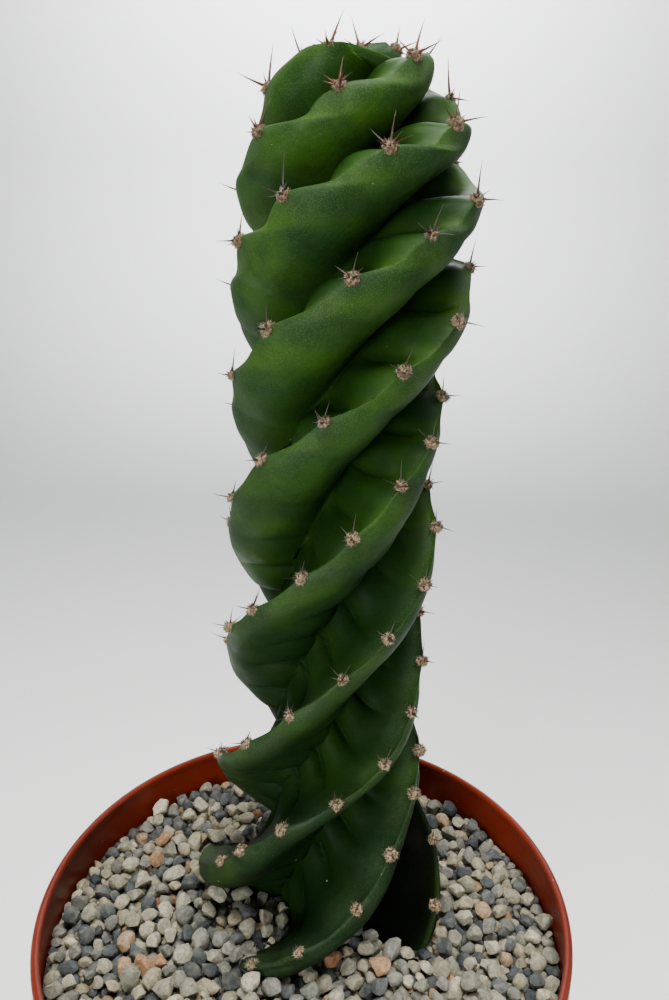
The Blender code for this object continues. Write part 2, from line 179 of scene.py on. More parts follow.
def keepEvaluated(obj):
    evaluated = obj.evaluated_get(bpy.context.evaluated_depsgraph_get())
    mesh = bpy.data.meshes.new_from_object(evaluated)
    obj.modifiers.clear()
    obj.data = mesh


# Camera, fitted to the rim's ellipse and the stem

camera = {
    "place": (0.006346, -0.1853, 0.29523),
    "lookDown": 0.28240541,
    "roll": 0.02063415,
    "lens": 27.04,
    "sensor": 36,
}

cameraData = bpy.data.cameras.new("photo camera")
cameraData.lens = camera["lens"]
cameraData.sensor_width = camera["sensor"]
cameraData.sensor_fit = "AUTO"
cameraObject = bpy.data.objects.new("photo camera", cameraData)
cameraObject.location = camera["place"]
tilt = Matrix.Rotation(math.pi / 2 - camera["lookDown"], 3, "X")
cameraObject.rotation_euler = (tilt @ Matrix.Rotation(camera["roll"], 3, "Z")).to_euler()
bpy.context.scene.collection.objects.link(cameraObject)
bpy.context.scene.camera = cameraObject


# Studio: one sweep of pale paper and large soft lights

studio = {
    "paper": "#f3f5f4",
    "halfWidth": 2.6,
    "front": -2.2,
    "back": 1.5,
    "bend": 0.55,
    "top": 2.6,
    "bendSteps": 24,
    "world": (0.94, 0.97, 1.0, 1),
    "worldStrength": 0.12,
    # name: place, aimed at, size, watts, spread in degrees, colour
    "lights": {
        "overhead box": ((0.04, -0.12, 0.95), (0.01, 0, 0.20), 0.50, 2.9, 80, "#fffdf8"),
        "left panel": ((-0.95, 0.50, 0.50), (0, 0, 0.22), 0.80, 0.6, 100, "#f8fbff"),
        "right panel": ((0.95, 0.20, 0.80), (0, 0, 0.30), 0.70, 0.9, 70, "#f8fbff"),
        "front box": ((-0.48, -1.12, 0.38), (0, 0, 0.16), 0.80, 6.6, 90, "#ffffff"),
        "background wash": ((0, 0.60, 2.1), (0, 1.5, 1.25), 0.90, 38, 70, "#ffffff"),
    },
}


def paperSweep(s):
    paper = newMaterial("matt background paper", {"Roughness": 0.92, "Base Color": srgb(s["paper"])})[0]
    path = [(s["front"], 0.0), (s["back"] - s["bend"], 0.0)]
    for i in range(1, s["bendSteps"] + 1):
        a = math.pi / 2 * i / s["bendSteps"]
        path.append((s["back"] - s["bend"] + s["bend"] * math.sin(a), s["bend"] - s["bend"] * math.cos(a)))
    path.append((s["back"], s["top"]))
    points = [(side * s["halfWidth"], y, z) for y, z in path for side in (-1, 1)]
    faces = [(2 * i, 2 * i + 1, 2 * i + 3, 2 * i + 2) for i in range(len(path) - 1)]
    sweep = meshObject("paper_sweep", points, faces, paper)
    sweep.data.shade_smooth()
    return sweep


def softLight(name, place, target, size, watts, spread, colour):
    light = bpy.data.lights.new(name, "AREA")
    light.shape = "DISK"
    light.size = size
    light.energy = watts
    light.spread = math.radians(spread)
    light.color = srgb(colour)[:3]
    made = bpy.data.objects.new(name, light)
    made.location = place
    made.rotation_euler = (Vector(target) - Vector(place)).to_track_quat("-Z", "Y").to_euler()
    bpy.context.scene.collection.objects.link(made)


paperSweep(studio)
for lightName, lightFacts in studio["lights"].items():
    softLight(lightName, *lightFacts)
world = bpy.data.worlds.new("soft room")
world.use_nodes = True
background = world.node_tree.nodes["Background"]
background.inputs["Color"].default_value = studio["world"]
background.inputs["Strength"].default_value = studio["worldStrength"]
bpy.context.scene.world = world
print("studio set")


# Stem: four ribs that wind up the axis, by the same rule as the solid.
# Heights are in metres above the grit, turns in degrees, and each list is a smooth curve over height.

stem = {
    "grit": 0.111,
    "height": 0.2360,
    "ribs": 4,
    "axisX": ((0, 0.0045), (0.039, 0.0030), (0.119, 0.0061), (0.155, 0.0067), (0.189, 0.0102),
              (0.236, 0.0110)),
    "axisY": ((0, 0.0134), (0.039, 0.0133), (0.119, 0.0142), (0.189, 0.0150), (0.236, 0.0155)),
    "twist": ((0, -42), (0.020, 13), (0.040, 62), (0.060, 126), (0.080, 172), (0.100, 220), (0.120, 269),
              (0.140, 314), (0.160, 377), (0.178, 427), (0.195, 486), (0.206, 527), (0.215, 576),
              (0.2255, 630), (0.2335, 676), (0.236, 698)),
    "crest": ((0, 0.0403), (0.014, 0.0368), (0.029, 0.0322), (0.044, 0.0307), (0.059, 0.0304),
              (0.079, 0.0284), (0.099, 0.0292), (0.119, 0.0286), (0.139, 0.0279), (0.157, 0.0280),
              (0.174, 0.0305), (0.188, 0.0302), (0.199, 0.0307), (0.210, 0.0296), (0.217, 0.0274),
              (0.2255, 0.0231), (0.2335, 0.0178), (0.236, 0.0158)),
    "valley": ((0, 0.0120), (0.039, 0.0115), (0.119, 0.0120), (0.199, 0.0125), (0.227, 0.0095),
               (0.236, 0.0055)),
    # a rib's outline: degrees round from its crest, share of the way from valley to crest
    "upperFlank": 30,
    "lowerFlank": 60,
    "oldRib": ((-30, 0), (-22, 0.06), (-14, 0.18), (-8, 0.38), (-4, 0.67), (-2, 0.86), (0, 0.97), (3, 1.0),
               (8, 1.0), (13, 0.97), (18, 0.91), (23, 0.79), (30, 0.58), (38, 0.35), (48, 0.13), (60, 0)),
    "youngRib": ((-30, 0), (-24, 0.20), (-17, 0.50), (-10, 0.76), (-4.5, 0.91), (-1.5, 0.98), (0, 1),
                 (8, 1.01), (21, 0.975), (33, 0.86), (43, 0.68), (52, 0.40), (60, 0)),
    "footRib": ((-30, 0), (-22, 0.02), (-14, 0.11), (-8, 0.30), (-4, 0.62), (-2, 0.84), (0, 0.97), (3, 1.0),
                (8, 0.98), (13, 0.97), (20, 0.92), (30, 0.76), (44, 0.32), (60, 0)),
    # upper flanks turn young over these heights, lower ones plump up sooner, and over these degrees they meet
    "youngFrom": (0.080, 0.175),
    "plumpFrom": (0.050, 0.140),
    "flankMeets": (-8, 8),
    "footTo": 0.034,
    "footSwing": (0, 8, 22, 32),
    "footHeight": (0.056, 0.056, 0.056, 0.075),
    # a young rib sweeps up: its valley lies this much lower than its crest
    "sweep": ((0, 0), (0.110, 0), (0.150, 0.0015), (0.190, 0.0030), (0.220, 0.0044), (0.236, 0.0048)),
    "sweepBend": 1.3,
    # behind its crest the top of an old rib is hollow, and at the foot it sags into the grit
    "hollow": ((0, 0.0020), (0.030, 0.0044), (0.110, 0.0040), (0.160, 0.0020), (0.200, 0.0008),
               (0.236, 0.0004)),
    "hollowLean": 0.45,
    "footHollow": (0.004, 0.014, 0.002, 0.0),
    "footHollowFrom": 0.06,
    "footHollowBend": 0.7,
    "footHollowFades": (0.007, 0.026),
    # scallops: the crest swells out, back and up at each areole
    "scallopSize": ((0, 0.20), (0.060, 0.22), (0.110, 0.28), (0.150, 0.45), (0.190, 0.80), (0.224, 0.85),
                    (0.236, 0.40)),
    "scallopAbove": (0.55, 1),
    "scallopBelow": (0, 0.8),
    "scallopPeak": -0.02,
    "scallopOut": 0.0006,
    "scallopSwing": 1.45,
    "scallopLift": 0.0010,
    "scallopUneven": 0.22,
    # furrows between the areoles' swellings: depth by height, then reach and level down either flank
    "upperFurrow": ((0, 0.0006), (0.080, 0.0014), (0.140, 0.0032), (0.236, 0.0036)),
    "lowerFurrow": ((0, 0.0004), (0.130, 0.0007), (0.236, 0.0009)),
    "upperReach": (0.14, 0.50, 0.78, 1),
    "lowerReach": (0.12, 0.50, 0.70, 1),
    "furrowLevels": (0.72, 0.62),
    "furrowKeen": 0.5,
    "furrowDrop": 0.008,
    # on the old stem the swellings lie along the valley like stacked lenses
    "archSize": 0.0042,
    "archDrop": 0.006,
    "archKeen": 0.45,
    "archLevel": 0.7,
    "archAbove": (0.05, 0.50),
    "archBelow": (0.42, 0.85),
    "archFades": (0.070, 0.150),
    # furrows this deep or deeper are coloured fully dark, as painted shade
    "darkDepth": 0.003,
    "unevenness": 0.00035,
    "unevenGrain": 0.013,
    # near the top one rib humps up and dips again, and the hindmost stands higher
    "humps": {
        1: ((0.2270, 0), (0.2312, 0.0024), (0.2338, 0.0006), (0.2360, -0.0028)),
        3: ((0.2285, 0), (0.2335, 0.0036), (0.2360, 0.0068)),
    },
    # over the top the ribs wind on and dip to the growing point, with areoles so far along the way
    "crownRows": 22,
    "crownTurn": 150,
    "crownBend": 0.8,
    "crownDip": 0.0090,
    "crownAreoles": ((0.10, 0.42), (0.42,), (0.10, 0.42), (0.10, 0.42)),
    # each rib's count of areoles at the grit, the first number and the heights of each run that the photo
    # shows, and the count at the top
    "areoles": (
        (0.35, {1: (0.0060, 0.0153), 11: (0.1032, 0.1145, 0.1249, 0.1367, 0.1457, 0.1555),
                22: (0.2155, 0.2234, 0.2317)}, 24.5),
        (0.70, {1: (0.0025, 0.0099, 0.0201, 0.0304, 0.0416, 0.0485),
                14: (0.1290, 0.1423, 0.1529, 0.1645, 0.1755, 0.1880), 23: (0.2274, 0.2355)}, 24.05),
        (2.05, {3: (0.0235, 0.0312, 0.0425, 0.0516, 0.0600, 0.0700, 0.0801),
                17: (0.1610, 0.1734, 0.1848, 0.1941, 0.2026, 0.2144), 24: (0.2300,)}, 24.7),
        (0.15, {1: (0.0081,), 6: (0.0541, 0.0641, 0.0758, 0.0872, 0.0970, 0.1080, 0.1198, 0.1289),
                19: (0.1926, 0.2015, 0.2108, 0.2176, 0.2276, 0.2352)}, 24.1),
    ),
    "lowestAreole": 0.0020,
    "highestAreole": 0.2358,
    # the stub in the soil, in rings at these shares of its depth
    "rootDepth": 0.0420,
    "rootTaper": 0.0110,
    "rootRadius": 0.0095,
    "rootTip": 0.0060,
    "rootRings": (1, 0.885, 0.55, 0.262, 0.18, 0.12, 0.06),
    # the hindmost foot is in painted shadow but for its very crest: degrees from the crest, and their spread
    "shadowedRib": 0,
    "shadowedTo": (0.022, 0.050),
    "shadowedBut": (2.5, 2.2),
    "shadowedShare": 0.75,
    # rows up the stem, and columns down a rib's upper flank, over its crest and down its lower flank
    "rows": 384,
    "columns": (9, 20, 19),
    "crestSpan": (-14, 13),
    "seed": 23,
}


def areoleIndex(s, rib, height):
    rib, height = np.broadcast_arrays(rib, height)
    index = np.empty(height.shape)
    for k, (lowest, runs, highest) in enumerate(s["areoles"]):
        passed = [(z, first + i) for first, run in runs.items() for i, z in enumerate(run)]
        knots = [(0, lowest), *passed, (s["height"], highest)]
        index[rib == k] = smoothCurve(knots, height[rib == k])
    return index


def unevenShare(s, rib, index):
    # how strongly each swelling is grown, eased from one to the next
    draws = np.random.default_rng(s["seed"]).uniform(-1, 1, (s["ribs"], 40))
    low = np.floor(index).astype(int)
    t = ease(0, 1, index - low)
    return 1 + s["scallopUneven"] * (draws[rib, low + 4] * (1 - t) + draws[rib, low + 5] * t)


def stemPoint(s, rib, degrees, height):
    rib, degrees, height = np.broadcast_arrays(rib, degrees, height)
    downward = ease(*s["flankMeets"], degrees)
    youth = (1 - downward) * ease(*s["youngFrom"], height) + downward * ease(*s["plumpFrom"], height)
    share = (1 - youth) * smoothCurve(s["oldRib"], degrees) + youth * smoothCurve(s["youngRib"], degrees)
    footing = 1 - ease(0, s["footTo"], height)
    share = (1 - footing) * share + footing * smoothCurve(s["footRib"], degrees)
    valley, crest = smoothCurve(s["valley"], height), smoothCurve(s["crest"], height)

    above, below = -degrees / s["upperFlank"], degrees / s["lowerFlank"]
    hold = 1 - np.where(degrees < 0, ease(*s["scallopAbove"], above), ease(*s["scallopBelow"], below))
    index = areoleIndex(s, rib, height)
    phase = math.tau * (index - s["scallopPeak"])
    scallop = np.cos(phase) * hold * smoothCurve(s["scallopSize"], height) * unevenShare(s, rib, index)
    swing = np.array(s["footSwing"])[rib] * share * (1 - ease(0, np.array(s["footHeight"])[rib], height))
    turn = smoothCurve(s["twist"], height) - 360 / s["ribs"] * rib + degrees + swing
    turn = np.radians(turn - s["scallopSwing"] * scallop)
    radius = valley + (crest - valley) * share + s["scallopOut"] * scallop
    x = smoothCurve(s["axisX"], height) + radius * np.cos(turn)
    y = smoothCurve(s["axisY"], height) + radius * np.sin(turn)

    behind = np.clip((above - s["footHollowFrom"]) / (1 - s["footHollowFrom"]), 0, 1)
    sag = np.array(s["footHollow"])[rib] * np.sin(np.pi * behind) ** s["footHollowBend"]
    sag = sag * (1 - ease(*s["footHollowFades"], height))
    sag = sag + smoothCurve(s["hollow"], height) * np.sin(np.pi * np.clip(above, 0, 1) ** s["hollowLean"])
    sag = sag + smoothCurve(s["sweep"], height) * np.maximum(1 - share, 0) ** s["sweepBend"]
    for humped, hump in s["humps"].items():
        sag = sag - np.where(rib == humped, share * smoothCurve(hump, height), 0)
    return np.stack([x, y, s["grit"] + height + s["scallopLift"] * scallop - sag], -1)


def furrowRelief(s, rib, degrees, height):
    # rounded swellings with a narrow furrow between each two
    above, below = np.clip(-degrees / s["upperFlank"], 0, 1), np.clip(degrees / s["lowerFlank"], 0, 1)
    lowered = np.clip(height + s["furrowDrop"] * below, 0, s["height"])
    index = areoleIndex(s, rib, lowered) - s["scallopPeak"]
    swell = np.abs(np.cos(np.pi * index)) ** s["furrowKeen"] - np.where(degrees < 0, *s["furrowLevels"])
    upper = smoothCurve(s["upperFurrow"], height) * window(s["upperReach"], above)
    lower = smoothCurve(s["lowerFurrow"], height) * window(s["lowerReach"], below)
    ridge = swell * np.where(degrees < 0, upper, lower) * unevenShare(s, rib, index)

    # both flanks of a valley share the arches of the rib under it
    under = np.where(degrees > 0, (rib - 1) % s["ribs"], rib)
    lowered = np.clip(height + s["archDrop"] * (1 - np.maximum(above, below)) ** 2, 0, s["height"])
    archIndex = areoleIndex(s, under, lowered) - s["scallopPeak"]
    arch = np.abs(np.cos(np.pi * archIndex)) ** s["archKeen"] - s["archLevel"]
    arch = arch * np.where(degrees < 0, ease(*s["archAbove"], above), ease(*s["archBelow"], below))
    arch = arch * s["archSize"] * (1 - ease(*s["archFades"], height))
    relief = ease(*s["youngFrom"], height) * ridge + arch
    # the second value, how deep a point lies in a furrow, darkens the skin's colour as painted shade
    return relief, -np.minimum(relief, 0) / s["darkDepth"]


def axisAt(s, height):
    return np.array([smoothCurve(s["axisX"], height), smoothCurve(s["axisY"], height), 0])


def crownRing(s, rim, inward):
    # the rim's ring drawn in towards the growing point
    middle = axisAt(s, s["height"])
    a = math.radians(s["crownTurn"]) * inward ** s["crownBend"]
    spin = np.array([[math.cos(a), math.sin(a), 0], [-math.sin(a), math.cos(a), 0], [0, 0, 1]])
    ring = middle + ((rim - middle) * (1, 1, 0) * (1 - inward)) @ spin
    dip = s["crownDip"] * math.sin(math.pi / 2 * inward)
    ring[:, 2] = rim[:, 2] * (1 - inward) + rim[:, 2].mean() * inward - dip
    return ring


def stemSkin(s, material):
    bounds = (-s["upperFlank"], *s["crestSpan"], s["lowerFlank"])
    degrees = np.concatenate([np.linspace(a, b, n, endpoint=False)
                              for a, b, n in zip(bounds, bounds[1:], s["columns"])])
    columnRib = np.repeat(np.arange(s["ribs"])[::-1], len(degrees))
    columnDegrees = np.tile(degrees, s["ribs"])
    heights = np.linspace(0, s["height"], s["rows"])
    rib, turnDegrees, height = np.broadcast_arrays(columnRib[None], columnDegrees[None], heights[:, None])
    skin = stemPoint(s, rib, turnDegrees, height)
    normal = np.cross(np.roll(skin, -1, 1) - np.roll(skin, 1, 1), np.gradient(skin, axis=0))
    normal /= np.maximum(np.linalg.norm(normal, axis=2, keepdims=True), 1e-12)
    relief, furrow = furrowRelief(s, rib, turnDegrees, height)
    grain = [noise.noise(Vector(p) / s["unevenGrain"]) for p in skin.reshape(-1, 3)]
    skin = skin + normal * (relief + s["unevenness"] * np.array(grain).reshape(height.shape))[..., None]

    # below the grit the feet draw in to the stub, as the solid's do
    middle = axisAt(s, 0.0)
    foot = skin[0]
    away = (foot - middle) * (1, 1, 0)
    away /= np.linalg.norm(away, axis=1, keepdims=True)
    root = []
    for sunk in s["rootRings"]:
        width = s["rootTip"] if sunk == 1 else s["rootRadius"]
        blend = ease(0, s["rootTaper"], sunk * s["rootDepth"])
        ring = foot * (1 - blend) + (middle + width * away) * blend
        ring[:, 2] = foot[:, 2] * (1 - sunk) + (s["grit"] - s["rootDepth"]) * sunk
        root.append(ring)
    crown = [crownRing(s, skin[-1], k / s["crownRows"]) for k in range(1, s["crownRows"])]
    growingPoint = crownRing(s, crown[-1], 1.0).mean(0)
    skin = np.concatenate([np.array(root), skin, np.array(crown)])
    points = skin.reshape(-1, 3).tolist()
    points += [(*middle[:2], s["grit"] - s["rootDepth"]), tuple(growingPoint)]
    made = meshObject("stem_skin", points, ringFaces(*skin.shape[:2]), material)
    made.data.shade_smooth()

    index = areoleIndex(s, rib, height) - s["scallopPeak"]
    centre, spread = s["shadowedBut"]
    shadowed = 1 - s["shadowedShare"] * np.exp(-((turnDegrees - centre) / spread) ** 2)
    for name, values in {
        "rise": height / s["height"],
        "below": np.clip(turnDegrees / s["lowerFlank"], 0, 1),
        "above": np.clip(-turnDegrees / s["upperFlank"], 0, 1),
        "notch": 0.5 - 0.5 * np.cos(math.tau * index),
        "furrow": furrow,
        # painted shadow over the hindmost foot, all but its very crest
        "footShadow": np.where(rib == s["shadowedRib"], shadowed * (1 - ease(*s["shadowedTo"], height)), 0),
    }.items():
        # the root goes on from the lowest row and the crown from the highest
        ends = [np.repeat(values[:1], len(root), 0), values, np.repeat(values[-1:], len(crown), 0)]
        storeValues(made.data, name, np.append(np.concatenate(ends).ravel(), (0.0, 1.0)))
    return made


skin = {
    "finish": {
        "IOR": 1.42, "Subsurface Weight": 0.05, "Subsurface Radius": (0.6, 1.0, 0.25),
        "Subsurface Scale": 0.0012, "Specular IOR Level": 0.15,
    },
    # age and painted shade: darker and bluish at the foot, partly older skin and partly painted shade of the
    # ribs above, the pot and the grit; fresher green from half-way up
    "age": ((0.0, "#0c1508"), (0.16, "#111f0a"), (0.38, "#122609"), (0.62, "#17310a"), (0.85, "#203d0c"),
            (1.0, "#23420d")),
    # noises, by scale, detail and roughness
    "noises": {"cloud": (95, 4, 0.55), "grain": (420, 3, 0.6), "patches": (40, 2, 0.5),
               "fine": (900, 3, 0.5), "broad": (150, 2, 0.5)},
    # pores stand about 0.4 mm apart, and old scars and dust leave pale flecks of 0.3 to 0.6 mm
    "cells": {"pores": (2600, 0.85), "flecks": (210, 1.0)},
    # what each strength follows, from and to where, and how strong it is at either end
    "strengths": {
        "young": ("rise", 0.30, 0.75, 0, 1),
        "youngTop": ("rise", 0.48, 0.80, 0, 1),
        "bluePatch": ("patches", 0.48, 0.64, 0, 0.55),
        "limePatch": ("patches", 0.36, 0.52, 0.40, 0),
        "notchYellow": ("notch", 0.25, 1, 0, 1),
        "flankYellow": ("below", 0.05, 0.6, 0.65, 0.25),
        "cloudy": ("cloud", 0.38, 0.66, 0, 0.6),
        # painted shade: the lower flanks darken towards the valley and the upper flanks behind the crest,
        # where the ribs shade each other
        "oldUnderShade": ("below", 0.40, 0.98, 0, 0.45),
        "youngUnderShade": ("below", 0.60, 1, 0, 0.12),
        "oldOverShade": ("above", 0.02, 0.20, 0, 0.55),
        "youngOverShade": ("above", 0.05, 0.6, 0, 0.65),
        # painted shade in the furrows
        "furrowShade": ("furrow", 0.04, 0.4, 0, 0.6),
        # real bloom of wax, laid on thickest along the crest bands and near the top, where it also serves as
        # painted highlight on the lit crests
        "bloomUnder": ("below", 0.02, 0.46, 0.20, 0.02),
        "bloomOver": ("above", 0.02, 0.30, 1, 0.1),
        "bloomNotch": ("notch", 0, 1, 1.1, 0.5),
        "bloomRise": ("rise", 0.62, 0.95, 1, 1.6),
        "poreDot": ("pores", 0.05, 0.50, 0.20, 0),
        "oldPores": ("below", 0.05, 0.4, 0.8, 0.10),
        "youngPores": ("below", 0.1, 0.9, 1, 0.45),
        "poresOver": ("above", 0.02, 0.20, 1, 0.12),
        "fleckReach": ("rise", 0, 0.35, 0.085, 0.04),
        "rough": ("cloud", 0.3, 0.7, 0.44, 0.60),
    },
    "amounts": {"fleckStrength": 0.7, "broadSwell": 1.6},
    # made of the ones above: with age one strength eases into another, and some work together
    "eased": {"under": ("young", "oldUnderShade", "youngUnderShade"), "over": ("youngTop", "oldOverShade", "youngOverShade"),
              "poresUnder": ("young", "oldPores", "youngPores")},
    "combined": {
        # painted shade of the flanks, the stronger of the two
        "shade": ("MAXIMUM", "under", "over"),
        "yellow": ("MULTIPLY", "notchYellow", "young", "cloud", "flankYellow"),
        "bloomAndHighlight": ("MULTIPLY", "bloomUnder", "bloomOver", "bloomNotch", "bloomRise", "grain"),
        "porous": ("MULTIPLY", "poreDot", "poresUnder", "poresOver"),
        # the stronger of the painted shade and the painted shadow, which dims the specular
        "shadowed": ("MAXIMUM", "shade", "footShadow"),
        "fleckSize": ("MULTIPLY", "fleckReach", "grain"),
        "fleckMask": ("LESS_THAN", "flecks", "fleckSize"),
        "flecked": ("MULTIPLY", "fleckMask", "fleckColour", "fleckStrength"),
        "swelling": ("MULTIPLY", "broad", "broadSwell"),
        "relief": ("ADD", "swelling", "fine", "poreDot"),
    },
    # tints laid over the age colour in turn: patches, new growth in the notches, clouds, painted shade down
    # the flanks, painted shade in the furrows, bloom of wax that also serves as painted highlight on the
    # crests, pores, flecks, and a painted shadow over the hindmost foot
    "tints": (
        ("bluePatch", "#0a2210"), ("limePatch", "#2a480c"), ("yellow", "#3e5a0f"), ("cloudy", "#0e2509"),
        ("shade", "#031501"), ("furrowShade", "#041a02"), ("bloomAndHighlight", "#4b5f46"), ("porous", "#6a8553"),
        ("flecked", "#b7c0a2"), ("footShadow", "#010300"),
    ),
    # specular falls from 0.12 to 0.03 as the painted shade and painted shadow deepen, so the shaded skin
    # reflects less
    "gloss": (0.0, 0.6, 0.12, 0.03),
}


def cactusSkin(s):
    # living skin under a thin bloom of wax: satin, grey-green where the bloom lies on the crests and also
    # paints their highlight, with painted shade down the flanks and in the furrows, yellower where new growth
    # stretches between areoles, and stippled with pale pores
    made, tree, shader, place = newMaterial("waxy cactus skin", s["finish"])
    part = dict(s["amounts"])
    for name in ("rise", "below", "above", "notch", "furrow", "footShadow"):
        part[name] = addNode(tree, "ShaderNodeAttribute", attribute_name=name).outputs["Fac"]
    for name, (scale, detail, roughness) in s["noises"].items():
        part[name] = addNode(tree, "ShaderNodeTexNoise", {
            "Vector": place, "Scale": scale, "Detail": detail, "Roughness": roughness})
    for name, (scale, spread) in s["cells"].items():
        part[name] = addNode(tree, "ShaderNodeTexVoronoi", {
            "Vector": place, "Scale": scale, "Randomness": spread})
    part["fleckColour"] = part["flecks"].outputs["Color"]
    smooth = {"interpolation_type": "SMOOTHSTEP"}
    for name, (source, *ends) in s["strengths"].items():
        part[name] = addNode(tree, "ShaderNodeMapRange", dict(enumerate((part[source], *ends))), **smooth)
    for name, (age, old, new) in s["eased"].items():
        part[name] = addNode(tree, "ShaderNodeMix", {0: part[age], 2: part[old], 3: part[new]})
    for name, (operation, first, *others) in s["combined"].items():
        part[name] = part[first]
        for other in others:
            both = {0: part[name], 1: part[other]}
            part[name] = addNode(tree, "ShaderNodeMath", both, operation=operation)

    colour = addNode(tree, "ShaderNodeValToRGB", {0: part["rise"]}, s["age"])
    for name, code in s["tints"]:
        colour = addNode(tree, "ShaderNodeMix", {0: part[name], 6: colour, 7: srgb(code)}, data_type="RGBA")
        colour = colour.outputs[2]
    gloss = addNode(tree, "ShaderNodeMapRange", dict(enumerate((part["shadowed"], *s["gloss"]))), **smooth)
    bump = addNode(tree, "ShaderNodeBump", {"Strength": 0.35, "Distance": 0.00025, "Height": part["relief"]})
    connect(tree, shader, {
        "Base Color": colour, "Specular IOR Level": gloss, "Roughness": part["rough"], "Normal": bump})
    return made


stemObject = stemSkin(stem, cactusSkin(skin))
skinMesh = stemObject.data
skinTree = BVHTree.FromPolygons([v.co for v in skinMesh.vertices], [p.vertices for p in skinMesh.polygons])
print("stem skin:", len(stemObject.data.polygons), "faces")


# Areoles: a felted cushion at each swelling of a crest, and the spines that stand in it

areole = {
    "sunk": 0.0002,
    # each crest is searched in steps of this height, and an areole lies square to so much of the crest,
    # along it in metres and across it in degrees
    "search": 0.00017,
    "along": 0.0034,
    "across": (-7, 9),
    # sizes of cushions and tufts run from small to large and from short to long
    "wool": {
        "Cushion Radius": 0.0015, "Cushion Thickness": 0.0011, "Small": 0.82, "Large": 1.15,
        "Lump": 0.0006, "Lump Grain": 0.0008, "Tuft Length": 0.0008, "Tuft Radius": 0.00012,
        "Short": 0.5, "Long": 1.2, "Tufts Per Square Metre": 4.2e6, "Seed": 7,
    },
}
spines = {
    # degrees clockwise from straight up, lean from the areole's face, share of full length
    "cluster": ((4, 50, 1.0), (-84, 62, 0.8), (118, 58, 0.9), (58, 55, 0.42), (-145, 66, 0.45)),
    "length": ((0, 0.0022), (0.030, 0.0034), (0.080, 0.0052), (0.160, 0.0062), (0.236, 0.0085)),
    "radius": ((0, 0.00022), (0.160, 0.00029), (0.236, 0.00038)),
    "jitter": 16,
    "lengthSpread": (0.65, 1.12),
    # the shortest spines are this share as thick, and all root so far up and out from a pad's middle
    "thinnest": 0.6,
    "rootUp": 0.3,
    "rootOut": 0.35,
    "freshFrom": (0.200, 0.236),
    "freshSpread": (0.5, 1.0),
    "stubs": 5,
    "stubLength": 0.0011,
    "stubSpread": (0.6, 1.2),
    "stubRadius": 0.0003,
    "stubLean": 0.7,
    "stubUp": 0.6,
    "stubOut": (0.1, 0.7),
    "stubFresh": 0.4,
    "needle": {"Bend": 0.08, "Slenderness": 16.0},
    "lowest": 0.012,
    "seed": 4,
}


def areolePlaces(s, pad, tree):
    # every crest point where a rib's areole count passes a whole number, seated on the finished skin
    places = []
    for rib in range(s["ribs"]):
        heights = np.arange(s["lowestAreole"], s["highestAreole"], pad["search"])
        index = np.floor(areoleIndex(s, rib, heights))
        for height in heights[:-1][index[:-1] < index[1:]]:
            step = pad["along"]
            low, spot, high = stemPoint(s, rib, 0, np.array([height - step, height, height + step]))
            sideA, sideB = stemPoint(s, rib, np.array(pad["across"]), height)
            outward = Vector(sideB - sideA).normalized().cross(Vector(high - low).normalized()).normalized()
            seat, _, _, _ = tree.find_nearest(Vector(spot))
            upward = (Vector((0, 0, 1)) - outward * outward.z).normalized()
            places.append((seat, outward, upward, height))
    # the youngest ones crowd over the crown
    for rib, insets in enumerate(s["crownAreoles"]):
        rim = stemPoint(s, rib, np.array([0.0, 1.0]), s["height"])
        for inward in insets:
            spot = Vector(crownRing(s, rim, inward)[0])
            seat, normal, _, _ = tree.find_nearest(spot)
            outward = (normal + Vector((0, 0, 1))).normalized()
            upward = outward.cross(Vector((1, 0.3, 0))).normalized()
            places.append((seat, outward, upward, s["height"]))
    return places


def woolFelt():
    # short felt of cream and tan hairs, browner where it is young and new spines crowd it
    made, tree, shader, place = newMaterial("areole wool felt", {
        "Roughness": 0.95, "Sheen Weight": 0.35, "Sheen Roughness": 0.6, "Sheen Tint": srgb("#e8dcc4"),
        "Specular IOR Level": 0.15,
    })
    clumps = addNode(tree, "ShaderNodeTexNoise", {
        "Vector": place, "Scale": 1300, "Detail": 3, "Roughness": 0.7})
    tone = addNode(tree, "ShaderNodeValToRGB", {0: clumps}, (
        (0.38, "#271b13"), (0.48, "#5c4a37"), (0.58, "#8b795d"), (0.74, "#c2b493")))
    height = addNode(tree, "ShaderNodeSeparateXYZ", {0: place}).outputs[2]
    young = addNode(tree, "ShaderNodeMapRange", {0: height, 1: 0.21, 2: 0.32, 3: 0.0, 4: 0.55})
    browned = addNode(tree, "ShaderNodeMix", {0: young, 6: tone, 7: srgb("#3b291c")}, data_type="RGBA")
    connect(tree, shader, {"Base Color": browned.outputs[2]})
    return made


def spineHorn():
    # horn: dark brown on old spines, and rust to orange on the crown's new ones
    made, tree, shader, _ = newMaterial("spine horn", {"Roughness": 0.42, "IOR": 1.5})
    fresh, along = (addNode(tree, "ShaderNodeAttribute", attribute_name=name).outputs["Fac"]
                    for name in ("fresh", "along"))
    old, new = (addNode(tree, "ShaderNodeValToRGB", {0: along}, stops) for stops in (
        ((0.0, "#332016"), (0.45, "#1d110c"), (1.0, "#2d1f19")),
        ((0.0, "#7a3a12"), (0.5, "#56260e"), (1.0, "#1f100a"))))
    mixed = addNode(tree, "ShaderNodeMix", {0: fresh, 6: old, 7: new}, data_type="RGBA")
    connect(tree, shader, {"Base Color": mixed.outputs[2]})
    return made


